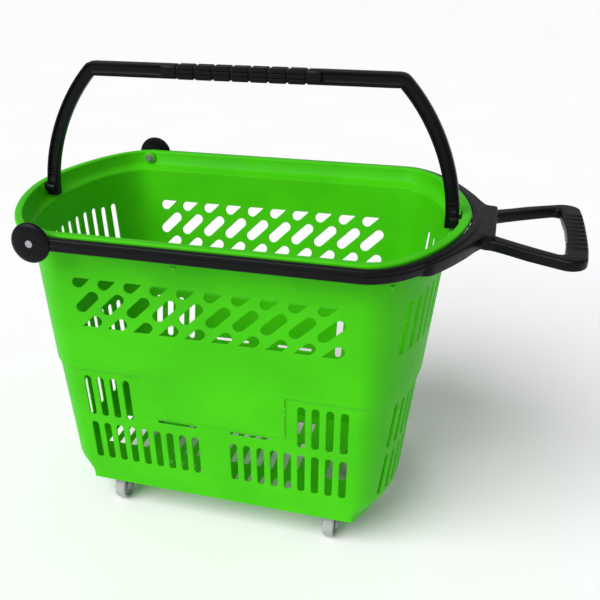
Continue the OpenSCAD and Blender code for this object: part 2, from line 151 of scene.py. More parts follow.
# ------------------------------------------------------------------ mesh help
class Acc:
    """Collects vertices in millimetres, in the basket's own coordinates, and faces."""

    def __init__(self):
        self.v = []
        self.f = []

    def add(self, pts, faces):
        o = len(self.v)
        self.v.extend([tuple(p) for p in pts])
        self.f.extend([tuple(i + o for i in f) for f in faces])

    def loft(self, rings, closed=True, cap0=False, cap1=False):
        n = len(rings[0])
        pts = [p for r in rings for p in r]
        fs = []
        for j in range(len(rings) - 1):
            for i in range(n if closed else n - 1):
                k = (i + 1) % n
                fs.append((j * n + i, j * n + k, (j + 1) * n + k, (j + 1) * n + i))
        if cap0:
            fs.append(tuple(range(n - 1, -1, -1)))
        if cap1:
            fs.append(tuple((len(rings) - 1) * n + i for i in range(n)))
        self.add(pts, fs)

    def build(self, name, mat, body, nodes=(), merge=0.01, angle=32, fix=True):
        me = bpy.data.meshes.new(name)
        me.from_pydata([((x + X0) / 1000, y / 1000, z / 1000) for x, y, z in self.v], [], self.f)
        bm = bmesh.new()
        bm.from_mesh(me)
        if merge:
            bmesh.ops.remove_doubles(bm, verts=bm.verts, dist=merge / 1000)
            bmesh.ops.dissolve_degenerate(bm, edges=bm.edges, dist=merge / 2000)
        if fix:
            bmesh.ops.recalc_face_normals(bm, faces=bm.faces)
        bm.to_mesh(me)
        bm.free()
        me.materials.append(mat)
        for p in me.polygons:
            p.use_smooth = True
        me.set_sharp_from_angle(angle=math.radians(angle))
        ob = bpy.data.objects.new(name, me)
        sc.collection.objects.link(ob)
        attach(ob, body)
        if nodes:
            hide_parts(*nodes)
        return ob


def miter(poly, closed=True):
    """Outward miter normals of a counter-clockwise loop."""
    p = np.array(poly, float)
    d = np.roll(p, -1, 0) - p
    d /= np.maximum(np.linalg.norm(d, axis=1, keepdims=True), 1e-9)
    n = np.stack([d[:, 1], -d[:, 0]], 1)
    m = n + np.roll(n, 1, 0)
    k = np.sum(m * n, axis=1, keepdims=True)
    return m / np.maximum(k, 0.45)


def area2(poly):
    p = np.array(poly)
    return 0.5 * np.sum(p[:, 0] * np.roll(p[:, 1], -1) - np.roll(p[:, 0], -1) * p[:, 1])


def ccw(poly):
    return list(poly) if area2(poly) > 0 else list(poly)[::-1]


def inside(poly, q):
    p = np.array(poly)
    x, y = q
    x1, y1 = p[:, 0], p[:, 1]
    x2, y2 = np.roll(x1, -1), np.roll(y1, -1)
    c = ((y1 > y) != (y2 > y))
    with np.errstate(divide="ignore", invalid="ignore"):
        xi = (x2 - x1) * (y - y1) / (y2 - y1) + x1
    return bool(np.count_nonzero(c & (x < xi)) % 2)


def rounded(poly, r, seg=4, min_turn=30):
    """The same loop with its sharp corners rounded."""
    p = [np.array(q, float) for q in poly]
    out = []
    n = len(p)
    for i in range(n):
        a, b, c = p[i - 1], p[i], p[(i + 1) % n]
        u, v = a - b, c - b
        lu_, lv_ = np.linalg.norm(u), np.linalg.norm(v)
        cs = np.dot(u, v) / (lu_ * lv_)
        if math.degrees(math.acos(max(-1, min(1, cs)))) > 180 - min_turn:
            out.append(b)
            continue
        k = min(r, lu_ * 0.45, lv_ * 0.45)
        s, t_ = b + u / lu_ * k, b + v / lv_ * k
        for j in range(seg + 1):
            t = j / seg
            out.append((1 - t) ** 2 * s + 2 * t * (1 - t) * b + t * t * t_)
    return [tuple(q) for q in out]


def cdt(bound, holes, extra):
    """Triangles of a region with holes. Returns points and triangles; the given loop points keep their places."""
    pts = []
    edges = []
    for lp in [bound] + holes:
        o = len(pts)
        pts.extend(lp)
        edges.extend([(o + i, o + (i + 1) % len(lp)) for i in range(len(lp))])
    pts.extend(extra)
    vs, es, fs, _, _, _ = delaunay_2d_cdt([Vector(p) for p in pts], edges, [], 0, 1e-7, False)
    P = np.array([(v.x, v.y) for v in vs])
    F = np.array([f for f in fs if len(f) == 3])
    C = P[F].mean(axis=1)
    keep = np.ones(len(F), bool)
    hb = [(np.min(h, 0), np.max(h, 0)) for h in map(np.array, holes)]
    for h, (lo, hi) in zip(holes, hb):
        c = (C[:, 0] > lo[0]) & (C[:, 0] < hi[0]) & (C[:, 1] > lo[1]) & (C[:, 1] < hi[1])
        for i in np.where(c)[0]:
            if inside(h, C[i]):
                keep[i] = False
    for i in range(len(F)):
        if keep[i] and not inside(bound, C[i]):
            keep[i] = False
    return P, F[keep]


def prism(acc, outer, holes, z0, z1, r=2.0, seg=3, place=None):
    """A flat plate with rounded edges, extruded from z0 to z1."""
    place = place or (lambda x, y, z: (x, y, z))
    rows = []
    for i in range(seg + 1):
        a = math.pi / 2 * i / seg
        rows.append((r * (1 - math.sin(a)), z0 + r * (1 - math.cos(a))))
    rows += [(k, z0 + z1 - z) for k, z in rows[::-1]]
    outer = ccw(outer)
    loops = [(outer, -1)] + [(ccw(h), 1) for h in holes]
    caps = {0: [], len(rows) - 1: []}
    for lp, sgn in loops:
        m = miter(lp)
        p = np.array(lp)
        rings = []
        for j, (k, z) in enumerate(rows):
            q = p + sgn * k * m
            rings.append([place(x, y, z) for x, y in q])
            if j in caps:
                caps[j].append([tuple(a) for a in q])
        acc.loft(rings)
    for j, lps in caps.items():
        P, F = cdt(lps[0], lps[1:], [])
        acc.add([place(x, y, rows[j][1]) for x, y in P], [tuple(f) for f in F])


def rbox(acc, c, s, r, rot=None, seg=2):
    """A box with rounded edges."""
    cx, cy, cz = c
    hx, hy, hz = s[0] / 2, s[1] / 2, s[2] / 2
    rr = min(r, hx * 0.9, hy * 0.9, hz * 0.9)
    out = []
    for sx, sy, a0 in ((1, 1, 0), (-1, 1, 90), (-1, -1, 180), (1, -1, 270)):
        for i in range(seg + 1):
            a = math.radians(a0 + 90 * i / seg)
            out.append((sx * (hx - rr) + rr * math.cos(a), sy * (hy - rr) + rr * math.sin(a)))
    R = Matrix.Rotation(rot[0], 3, rot[1]) if rot else None

    def place(x, y, z):
        v = Vector((x, y, z))
        if R:
            v = R @ v
        return (v.x + cx, v.y + cy, v.z + cz)

    prism(acc, out, [], -hz, hz, rr * 0.99, seg, place)


def lathe(acc, prof, place, n=64):
    """Turns a closed (r, h) profile round the axis; place(x, y, h)."""
    rings = []
    for r, h in prof:
        rings.append([place(max(r, 0.0005) * math.cos(2 * math.pi * i / n), max(r, 0.0005) * math.sin(2 * math.pi * i / n), h) for i in range(n)])
    acc.loft(rings + [rings[0]])


# ------------------------------------------------------------------ basket
XS = 186.0
GX, GY = 0.53, 0.395
RL, RW, RZ = 287.0, 189.5, 446.0
T = 2.5


def wu(z): return 152.5 + 0.125 * (z - 345)
def lu(z): return 258 + 0.08 * (z - 345)
def wl(z): return wu(z) - 2
def ll(z): return lu(z) - 3.5


OUT = np.array([
    (46, 227, wl(46), .12, .1), (56, 227.5, wl(56) - .8, .12, .1), (65, 230, wl(65), .42, .3), (78, ll(78), wl(78), .68, .48),
    (238, ll(238), wl(238), .68, .48), (240.5, lu(240), wu(240), .68, .48), (417, lu(419), wu(419), .6, .44)])
INN = np.array([
    (57.5, 225, wl(57.5) - T, .12, .1), (66.5, 227.5, wl(66.5) - T, .42, .3), (79, ll(79) - T, wl(79) - T, .68, .48),
    (239, ll(239) - T, wl(239) - T, .68, .48), (241.5, lu(240) - T, wu(240) - T, .68, .48), (419, lu(419) - T, wu(419) - T, .6, .44)])


def prof(tab, z):
    h = min(4.0 if z < 100 else 1.3, z - tab[0, 0], tab[-1, 0] - z)
    zz = z + np.linspace(-h, h, 9)
    return [float(np.mean(np.interp(zz, tab[:, 0], tab[:, k]))) for k in (1, 2, 3, 4)]


def bzr(a, b, c, d, t):
    return (1 - t) ** 3 * a + 3 * (1 - t) ** 2 * t * b + 3 * (1 - t) * t * t * c + t ** 3 * d


def corner(L, W, kx, ky, v):
    """Point of the right end's outline; v from -1 (front) through 0 (tip) to 1 (back)."""
    t = 1 - abs(v)
    x = bzr(XS, XS + kx * (L - XS), L, L, t)
    y = bzr(W, W, ky * W, 0, t)
    return x, math.copysign(y, v) if v else 0.0


COLX = [XS * (2 * i / 30 - 1) for i in range(31)]
NV = 28
COLV = [i / NV for i in range(-NV, NV + 1)]


def loop3(z, L, W, kx, ky):
    """The whole outline as a ring of points at one height, counter-clockwise from the front left."""
    out = [(x, -W, z) for x in COLX]
    out += [(*corner(L, W, kx, ky, v), z) for v in COLV[1:-1]]
    out += [(x, W, z) for x in COLX[::-1]]
    out += [(-p[0], p[1], z) for p in (corner(L, W, kx, ky, v) for v in COLV[::-1][1:-1])]
    return out


def stadium(cx, cz, ang, ln, w, n=7):
    h = (ln - w) / 2
    r = w / 2
    a = math.radians(ang)
    out = []
    for s in (1, -1):
        for i in range(n + 1):
            b = -math.pi / 2 + math.pi * i / n + (0 if s > 0 else math.pi)
            x, y = s * h + r * math.cos(b), r * math.sin(b)
            out.append((cx + x * math.cos(a) - y * math.sin(a), cz + x * math.sin(a) + y * math.cos(a)))
    return out


def clip(poly, val, keep_below):
    out = []
    n = len(poly)
    f = (lambda p: p[1] <= val) if keep_below else (lambda p: p[1] >= val)
    for i in range(n):
        a, b = poly[i], poly[(i + 1) % n]
        if f(a):
            out.append(a)
        if f(a) != f(b):
            t = (val - a[1]) / (b[1] - a[1])
            out.append((a[0] + t * (b[0] - a[0]), val))
    res = [out[0]]
    for p in out[1:]:
        if math.dist(p, res[-1]) > 0.05:
            res.append(p)
    return res


side_slots = []
for i in range(10):
    x = (i - 4.5) * 34
    side_slots.append(stadium(x, 345.5, 45, 39.6, 14, 9))
    side_slots.append(rounded(clip(stadium(x, 381, 45, 39.6, 14, 9), 379, True), 1.6, 3, 40))
    side_slots.append(rounded(clip(stadium(x, 310, 45, 39.6, 14, 9), 309, False), 1.6, 3, 40))
for s in (-1, 1):
    for i in range(9):
        side_slots.append(stadium(s * (26.6 + 18.2 * i), 119, 90, 64, 9.6, 6))
    for i in range(5, 9):
        side_slots.append(stadium(s * (26.6 + 18.2 * i), 196, 90, 66, 9.6, 6))
    side_slots.append(stadium(s * 50, 168.5, 0, 54, 4.6, 5))
end_slots = [stadium(20 * k - .017 * k ** 3, 347 if abs(k) < 5 else 345.2, 90, 72 if abs(k) < 5 else 68.4, 8.4, 6) for k in range(-6, 7)]
end_slots += [stadium(19.4 * k - .012 * k ** 3, 197, 90, 66, 8.4, 6) for k in range(-5, 6)]
end_slots += [stadium(18.8 * k - .012 * k ** 3, 119, 90, 64, 8.4, 6) for k in range(-5, 6)]
side_slots = [ccw(s) for s in side_slots]
end_slots = [ccw(s) for s in end_slots]
CH = 0.6  # rounding of the slots' edges

ROWS_OUT = [46, 48, 51, 54, 56, 58, 60, 62.5, 65, 68, 71, 74.5, 78, 82] + list(np.linspace(95, 236, 13)) + [237, 238, 238.8, 239.6, 240.5, 241.3, 242.5] + list(np.linspace(256, 404, 13)) + [417]
ROWS_INN = [57.5, 59.5, 62, 64.5, 66.5, 69, 72, 75.5, 79, 83] + list(np.linspace(96, 236, 13)) + [237.6, 239, 239.8, 240.6, 241.5, 242.4, 243.6] + list(np.linspace(257, 405, 13)) + [419]

bk = Acc()


def seg_dist(P, lp):
    a = np.array(lp)
    b = np.roll(a, -1, 0)
    d = b - a
    L2 = np.maximum((d ** 2).sum(1), 1e-9)
    t = np.clip(((P[None, :] - a) * d).sum(1) / L2, 0, 1)
    return np.min(np.linalg.norm(a + d * t[:, None] - P[None, :], axis=1))


def free_points(pts, holes, gap):
    out = []
    boxes = [(np.min(h, 0) - gap, np.max(h, 0) + gap) for h in map(np.array, holes)]
    for p in pts:
        q = np.array(p)
        ok = True
        for h, (lo, hi) in zip(holes, boxes):
            if q[0] < lo[0] or q[0] > hi[0] or q[1] < lo[1] or q[1] > hi[1]:
                continue
            if inside(h, p) or seg_dist(q, h) < gap:
                ok = False
                break
        if ok:
            out.append(p)
    return out


def pface(x, z, w):
    """Outer face of the long wall, with its raised label panel."""
    if abs(x) < 96.8 and 176.2 < z < 241:
        return max(w, wu(z) - 0.3)
    return w


def side_wall(tab, rows, outer):
    """Long walls, both at once. Returns the slots' loops on this surface."""
    ex = [tuple(np.array(h) + CH * miter(h)) for h in side_slots]
    ex = [[tuple(p) for p in h] for h in ex]
    b = [(x, rows[0]) for x in COLX] + [(XS, z) for z in rows[1:-1]] + [(x, rows[-1]) for x in COLX[::-1]] + [(-XS, z) for z in rows[::-1][1:-1]]
    pts = [(x, z) for z in rows[1:-1] for x in COLX[1:-1]]
    if outer:
        pts = [p for p in pts if not (175 < p[1] < 178 or (170 < p[1] < 243 and 95 < abs(p[0]) < 98.5))]
        for g, zb in ((97.0, 176.0), (96.6, 176.4)):
            pts += [(s * g, z) for s in (-1, 1) for z in list(np.linspace(zb, 236, 8)) + [238, 239.6, 240.5]]
            pts += [(x, zb) for x in np.linspace(-g, g, 25)[1:-1]]
    pts = free_points(pts, ex, 1.3)
    P, F = cdt(b, ex, pts)
    tabs = {}

    def W(z):
        k = round(z, 5)
        if k not in tabs:
            tabs[k] = prof(tab, z)[1]
        return tabs[k]

    for s in (-1, 1):
        bk.add([(x, s * (pface(x, z, W(z)) if outer else W(z)), z) for x, z in P], [tuple(f) for f in F])
    return ex, W


def solve_v(tab, y, z, cache={}):
    L, W, kx, ky = prof(tab, z)
    lo, hi = 0.0, 1.0
    ay = abs(y)
    for _ in range(40):
        m = (lo + hi) / 2
        if bzr(W, W, ky * W, 0, 1 - m) < ay:
            lo = m
        else:
            hi = m
    return math.copysign((lo + hi) / 2, y)


SV = 190.0


def end_wall(tab, rows):
    ex_yz = [[tuple(p) for p in np.array(h) + CH * miter(h)] for h in end_slots]
    ex = [[(solve_v(tab, y, z) * SV, z) for y, z in h] for h in ex_yz]
    cols = [v * SV for v in COLV]
    b = [(c, rows[0]) for c in cols] + [(SV, z) for z in rows[1:-1]] + [(c, rows[-1]) for c in cols[::-1]] + [(-SV, z) for z in rows[::-1][1:-1]]
    pts = free_points([(c, z) for z in rows[1:-1] for c in cols[1:-1]], ex, 1.3)
    P, F = cdt(b, ex, pts)
    pr = {}
    out = []
    for c, z in P:
        k = round(z, 5)
        if k not in pr:
            pr[k] = prof(tab, z)
        out.append((*corner(*pr[k], max(-1, min(1, c / SV))), z))
    for s in (-1, 1):
        bk.add([(s * x, y, z) for x, y, z in out], [tuple(f) for f in F])
    return ex_yz


ex_o, Wo = side_wall(OUT, ROWS_OUT, True)
ex_i, Wi = side_wall(INN, ROWS_INN, False)
for h, e1, e2 in zip(side_slots, ex_o, ex_i):
    for s in (-1, 1):
        rings = []
        for lp, k in ((e1, 0.0), (h, 0.24), (h, 0.76), (e2, 1.0)):
            ring = []
            for x, z in lp:
                a = pface(x, z, Wo(z)); c = Wi(z)
                ring.append((x, s * (a + (c - a) * k), z))
            rings.append(ring)
        bk.loft(rings)
end_wall(OUT, ROWS_OUT)
end_wall(INN, ROWS_INN)
for h in end_slots:
    ex = [tuple(p) for p in np.array(h) + CH * miter(h)]
    for s in (-1, 1):
        rings = []
        for lp, k in ((ex, 0.0), (h, 0.24), (h, 0.76), (ex, 1.0)):
            ring = []
            for y, z in lp:
                xo = corner(*prof(OUT, z), solve_v(OUT, y, z))[0]
                xi = corner(*prof(INN, z), solve_v(INN, y, z))[0]
                ring.append((s * (xo + (xi - xo) * k), y, z))
            rings.append(ring)
        bk.loft(rings)

# collar and rim
lo_, wo_ = lu(419), wu(419)
collar = [
    (417, lo_, wo_, .6, .44), (421, lo_ + .3, wo_ + .5, .6, .44), (421.7, lo_ + .8, wo_ + 1.1, .595, .437), (422.4, lo_ + 2.2, wo_ + 2.7, .585, .43), (424.4, lo_ + 7.4, wo_ + 9, .56, .41), (426, 275.6, 175.5, GX, GY), (426.6, 276.7, 177, GX, GY), (427.2, 277.1, 177.7, GX, GY),
    (428, 277.3, 178, GX, GY), (436, 277.9, 179.3, GX, GY), (442.6, 278.5, 180.4, GX, GY), (443.3, 279, 181, GX, GY), (443.5, 280, 182, GX, GY),
    (443.5, 284.2, 186.7, GX, GY), (443.2, 284.8, 187.3, GX, GY), (442.6, 285, 187.5, GX, GY), (440.6, 285, 187.5, GX, GY), (440, 285.6, 188.1, GX, GY), (440, 286.3, 188.8, GX, GY), (440.4, 286.9, 189.4, GX, GY),
    (441, 287, 189.5, GX, GY), (443.6, 287, 189.5, GX, GY), (444.6, 286.8, 189.3, GX, GY), (445.4, 286.2, 188.7, GX, GY), (445.85, 285.4, 187.9, GX, GY), (446, 284.4, 186.9, GX, GY),
    (446, 278.2, 180.3, GX, GY), (445.8, 277.3, 179.3, GX, GY), (445.3, 276.5, 178.5, GX, GY), (444.5, 276.05, 178.05, GX, GY), (443, 275.9, 177.8, GX, GY), (430.8, 274.8, 175.6, GX, GY), (429.9, 274.1, 174.8, GX, GY),
    (428.6, 273.4, 173.8, .533, .397), (427.2, 271.6, 171.8, .54, .40), (424.8, lo_ - T + 5, wo_ - T + 6.2, .565, .415), (423.4, lo_ - T + 1.3, wo_ - T + 1.7, .59, .433), (422.4, lo_ - T + .4, wo_ - T + .5, .597, .438), (419, lo_ - T, wo_ - T, .6, .44)]
bk.loft([loop3(*r) for r in collar])
# skirt edge, its inside and the floor
W46, W55 = wl(46), wl(55) - T
bk.loft([loop3(*r) for r in [(46, 227, W46, .12, .1), (45.9, 226.6, W46 - .4, .12, .1), (45.9, 224.9, W46 - 2.1, .12, .1), (46, 224.5, W46 - 2.5, .12, .1), (55, 224.5, W55, .12, .1)]])
floor_slots = []
for k in range(-5, 6):
    floor_slots.append((18 * k, 0, 76))
    floor_slots += [(18 * k, 79, 38), (18 * k, -79, 38)]
for s in (-1, 1):
    floor_slots += [(s * (140 + 18 * j), 0, 76) for j in range(4)]
fl = [ccw(rounded([(x - 4.7, y - n / 2), (x + 4.7, y - n / 2), (x + 4.7, y + n / 2), (x - 4.7, y + n / 2)], 1.6, 3)) for x, y, n in floor_slots]
flx = [[tuple(p) for p in np.array(h) + CH * miter(h)] for h in fl]
for z, tb in ((57.5, (57.5, 225, wl(57.5) - T, .12, .1)), (55, (55, 224.5, W55, .12, .1))):
    P, F = cdt([(x, y) for x, y, _ in loop3(*tb)], flx, [])
    bk.add([(x, y, z) for x, y in P], [tuple(f) for f in F])
for h, e in zip(fl, flx):
    bk.loft([[(x, y, 57.5) for x, y in e], [(x, y, 56.9) for x, y in h], [(x, y, 55.6) for x, y in h], [(x, y, 55) for x, y in e]])
basket = bk.build("basket_shell", GREEN, "basket", ["basket"], angle=38)

# moulded details of the basket, as small closed pieces that meet the wall
bd = Acc()


def cyl_x(acc, x0_, x1_, y, z, r, b=0.6, n=32, r_in=0):
    sgn = 1 if x1_ > x0_ else -1
    pr = [(r_in, x0_), (r, x0_), (r, x1_ - sgn * b), (r - b * .3, x1_ - sgn * b * .3), (r - b, x1_), (r_in, x1_)]
    lathe(acc, pr, lambda a, c, h: (h, y + a, z + c), n)


def cyl_y(acc, x, y0_, y1_, z, r, b=0.6, n=32, r_in=0):
    sgn = 1 if y1_ > y0_ else -1
    pr = [(r_in, y0_), (r, y0_), (r, y1_ - sgn * b), (r - b * .3, y1_ - sgn * b * .3), (r - b, y1_), (r_in, y1_)]
    lathe(acc, pr, lambda a, c, h: (x + a, h, z + c), n)


PZ = 438.0
HX, HZ = -193.5, 437.0
for s in (-1, 1):
    cyl_y(bd, HX, s * 180, s * 190.2, HZ, 8.7, r_in=3.55)
    cyl_y(bd, HX, s * 180, s * 172.2, HZ, 8.7, r_in=3.55)
    cyl_x(bd, s * 277, s * 286, 0, PZ, 7.7, r_in=5.05)
    for v in (-1, 1):
        rbox(bd, (s * 274.7, v * 15, 437.7), (2.6, 2.4, 13.6), 0.7)
# small wedges under the collar on both long walls
for s in (-1, 1):
    for x in (-34, 215):
        def ws(z):
            if x < XS:
                return wu(z)
            a, b_ = 0.0, 1.0
            p = prof(OUT, z)
            for _ in range(30):
                m_ = (a + b_) / 2
                if corner(*p, m_)[0] > x:
                    a = m_
                else:
                    b_ = m_
            return corner(*p, a)[1]
        pts = [(x - 3.0, s * (ws(401) - 1), 401), (x + 3.0, s * (ws(401) - 1), 401), (x + 3.6, s * (ws(409) - 1), 409), (x - 3.6, s * (ws(409) - 1), 409),
               (x - 2.4, s * (ws(402) + .4), 402), (x + 2.4, s * (ws(402) + .4), 402), (x + 3.0, s * (ws(408.4) + 1.5), 408.4), (x - 3.0, s * (ws(408.4) + 1.5), 408.4)]
        bd.add(pts, [(0, 1, 2, 3), (4, 5, 6, 7), (0, 1, 5, 4), (1, 2, 6, 5), (2, 3, 7, 6), (3, 0, 4, 7)])
for v in (-1, 1):
    rbox(bd, (283, v * 46, 423.1), (26, 8, 5), 1.2)
for s in (-1, 1):
    for v in (-1, 1):
        rbox(bd, (s * 154, v * 73, 54.6), (48, 44, 2.2), 0.9)
details = bd.build("basket_details", GREEN, "basket", angle=38)

# ------------------------------------------------------------------ carry handle
CZ = 606.0
BH = 17.4
ch = Acc()
LEGX = 264.5


def leg_pt(t):
    return np.array([bzr(LEGX, 264, 239.3, 198, t), bzr(438, 488, CZ - 55, CZ - 12.4, t)])


def stations():
    """(outer point, inner point, recess depth) of the right half, from foot to the middle of the bar."""
    st = []
    w = 8.0
    st.append((np.array([LEGX + w, 429.5]), np.array([LEGX - w, 429.5]), 0))
    st.append((np.array([LEGX + w, 434]), np.array([LEGX - w, 434]), 0))
    n = 40
    for i in range(n + 1):
        t = i / n
        p = leg_pt(t)
        d = leg_pt(min(1, t + .01)) - leg_pt(max(0, t - .01))
        d /= np.linalg.norm(d)
        nn = np.array([d[1], -d[0]])
        st.append((p + nn * w, p - nn * w, None))
    st.append((np.array([201.6, 601.4]), np.array([191.4, 589.0]), 3.0))
    st.append((np.array([198.6, 603.8]), np.array([190.2, 588.75]), 3.0))
    st.append((np.array([194.4, 605.4]), np.array([188.6, 588.65]), 3.0))
    st.append((np.array([189.0, 606.0]), np.array([186.4, 588.6]), 3.0))
    for x in np.linspace(182, 108, 10):
        st.append((np.array([x, 606.0]), np.array([x, 588.6]), 3.0))
    return st


def section(o, i, y_half, depth):
    """Closed channelled section between the outer and inner edge lines."""
    pts = []
    prof_n = [(-1, -.74), (-.95, -.9), (-.84, -1), (-.70, -1), (-.64, -.97), (-.60, -.86)]
    front = [(n, y) for n, y in prof_n]
    base = 1 - depth / y_half
    path = []
    # front face (y = -), from inner edge to outer edge
    path += [(-1, -.74), (-.96, -.92), (-.86, -1), (-.70, -1)]
    if depth > 0.01:
        path += [(-.64, -.985), (-.61, -.93), (-.57, -base - .06), (-.52, -base), (.52, -base), (.57, -base - .06), (.61, -.93), (.64, -.985)]
    else:
        path += [(-.64, -1), (-.61, -1), (-.57, -1), (-.52, -1), (.52, -1), (.57, -1), (.61, -1), (.64, -1)]
    path += [(.70, -1), (.86, -1), (.96, -.92), (1, -.74)]
    path += [(n, -y) for n, y in path[::-1]]
    mid = (o + i) / 2
    hv = (o - i) / 2
    for n, y in path:
        q = mid + hv * n
        pts.append((q[0], y * y_half, q[1]))
    return pts


half = stations()
rings = []
full = [(o, i, d, 1) for o, i, d in half]
for s in (1, -1):
    rs = []
    for k, (o, i, d) in enumerate(half):
        zmid = (o[1] + i[1]) / 2
        if d is None:
            d = 0 if zmid < 449 else 3.0 * min(1, (zmid - 449) / 1.5)
        rs.append([(s * x, y, z) for x, y, z in section(o, i, 5.5, d)])
    xe = 100 if s > 0 else 98
    last_o, last_i = np.array([xe, 606.0]), np.array([xe, 588.6])
    rs.append([(s * x, y, z) for x, y, z in section(last_o + [1.2, 0], last_i + [1.2, 0], 5.5, 3.0)])
    rs.append([(s * x, y, z) for x, y, z in section(last_o, last_i, 5.5, 0)])
    rs.append([(s * x, y, z) for x, y, z in section(last_o - [8, 0], last_i - [8, 0], 5.5, 0)])
    # rounded foot
    foot = [tuple(p) for p in rs[0]]
    c = np.mean(foot, axis=0)
    f2 = [tuple(c + (np.array(p) - c) * [0.86, 0.8, 1] - [0, 0, 1.2]) for p in foot]
    rs = [f2] + rs
    ch.loft(rs, cap0=True, cap1=True)
# bosses and pegs at the feet
for s in (-1, 1):
    cyl_x(ch, s * 262, s * 276.6, 0, PZ, 7.0, 0.8, 40)
    cyl_x(ch, s * 270, s * 282.8, 0, PZ, 4.98, 0.8, 40)
    # cross ribs in the channel near the feet and along the legs
    for z in (452.5, 459.0):
        rbox(ch, (s * 263.6, 0, z), (12, 9.6, 1.6), 0.5)


def grip_section(hy, hz, lobes, n=48, p=5.0):
    """Rounded, superelliptic section with no pads."""
    out = []
    for k in range(n):
        a = 2 * math.pi * k / n
        c, s = math.cos(a), math.sin(a)
        r = (abs(c) ** p + abs(s) ** p) ** (-1 / p)
        y, z = hy * r * c, hz * r * s
        out.append((y, z))
    return out


def pad_section(hy, hz, dent):
    """Front and back faces carry three raised bars each; top and underside two."""
    pts = []
    m = 18
    def bars(t, k):
        # t from -1 to 1, k bars with rounded gaps between
        u = (t + 1) / 2 * k
        f = u - math.floor(u)
        e = min(f, 1 - f)
        return dent * (1 - min(1, e / 0.16)) if 0.02 < (t + 1) / 2 < 0.98 else dent
    for t in np.linspace(-1, 1, m + 1):  # back face, going down
        pts.append((hy - bars(t, 3), -t * hz * .93))
    for t in np.linspace(-1, 1, 11)[1:-1]:
        pts.append((-t * hy * .93, -hz + bars(t, 2) * .6))
    for t in np.linspace(-1, 1, m + 1):
        pts.append((-hy + bars(t, 3), t * hz * .93))
    for t in np.linspace(-1, 1, 11)[1:-1]:
        pts.append((t * hy * .93, hz - bars(t, 2) * .6))
    return pts


GZ = CZ - BH / 2


def along_x(acc, secs):
    acc.loft([[(x, y * k, GZ + z * k) for y, z in s] for x, k, s in secs], cap0=True, cap1=True)


core = grip_section(7.0, 7.5, 0)
along_x(ch, [(-96, 1, core), (98, 1, core)])
sleeve = grip_section(8.6, 8.55, 0, p=5.5)
for x, h in ((-88.5, 9.5), (92, 8)):
    along_x(ch, [(x - h, .93, sleeve), (x - h + .4, .975, sleeve), (x - h + 1.2, 1, sleeve), (x + h - 1.2, 1, sleeve), (x + h - .4, .975, sleeve), (x + h, .93, sleeve)])
pad = pad_section(8.9, 8.6, 0.85)
for i in range(7):
    x = (i - 3) * 23 + 2.5
    along_x(ch, [(x - 10.3, .88, pad), (x - 10.1, .94, pad), (x - 9.5, .985, pad), (x - 8.7, 1, pad), (x + 8.7, 1, pad), (x + 9.5, .985, pad), (x + 10.1, .94, pad), (x + 10.3, .88, pad)])
carry = ch.build("carry_handle_moulding", BLACK, "carry_handle", ["carry_handle"], merge=0.004, angle=40)

# ------------------------------------------------------------------ pull handle
ph = Acc()
AZ0 = 428.0
AH = 15.5
AT = 9.5
PX = 416.0


def rim_path(g, x_from=HX):
    """Half plan line of the rim offset by g, front side, from the hub to the tip."""
    L, W = RL + g, RW + g
    a = [(x, -W) for x in np.linspace(x_from, XS, 20)]
    a += [corner(L, W, GX, GY, v) for v in np.linspace(-1, 0, 30)[1:]]
    return a


def c_shape(g0, g1, x_from=HX, x_to=None):
    o, i = rim_path(g1, x_from), rim_path(g0, x_from)
    if x_to is not None:
        o = [p for p in o if p[0] <= x_to]; i = [p for p in i if p[0] <= x_to]
        return o + i[::-1]
    o = o + [(x, -y) for x, y in o[:-1][::-1]]
    i = i + [(x, -y) for x, y in i[:-1][::-1]]
    return o + i[::-1]


prism(ph, c_shape(1, 1 + AT), [], AZ0, AZ0 + AH, 2.2, 3)
for s in (-1, 1):
    o = c_shape(5, 11.6, HX + 20, 262)
    prism(ph, [(x, s * -y) for x, y in o], [], AZ0 + 6, AZ0 + 9.6, 0.9, 2)


def fil(p, a, b, r, n):
    return [(p[0] + r * math.cos(math.radians(a + (b - a) * i / n)), p[1] + r * math.sin(math.radians(a + (b - a) * i / n))) for i in range(n + 1)]


def mir(a):
    return a + [(x, -y) for x, y in a[::-1] if y > 1e-6]


# yoke, following the rim on its inner side
yo = [(RL - 60, 162), (RL - 32, 155), (RL - 24, 143), (RL - 11, 119), (RL + 1, 93.5), (RL + 9, 73), (RL + 16, 58), (PX - 100, 57.4)]
yo = [(x, y) for x, y in yo]
inner = [p for p in rim_path(1.2) if p[0] > RL - 64]
poly = [(x, -y) for x, y in inner][::-1]
# from the tip back to y = +, then out along the yoke's outline
half_o = yo
ring = []
ring += [(x, -y) for x, y in reversed(inner)][::1]
ring = [(x, abs(y)) for x, y in inner]          # from y large to the tip (0)
ring_full = [(x, -y) for x, y in ring] + [(x, y) for x, y in ring[::-1][1:]]
outline = ring_full + [(x, y) for x, y in half_o] + [(x, -y) for x, y in half_o[::-1]]
prism(ph, rounded(outline, 7, 5, 18), [], AZ0 - 2, AZ0 - 2 + AH, 2.0, 3)
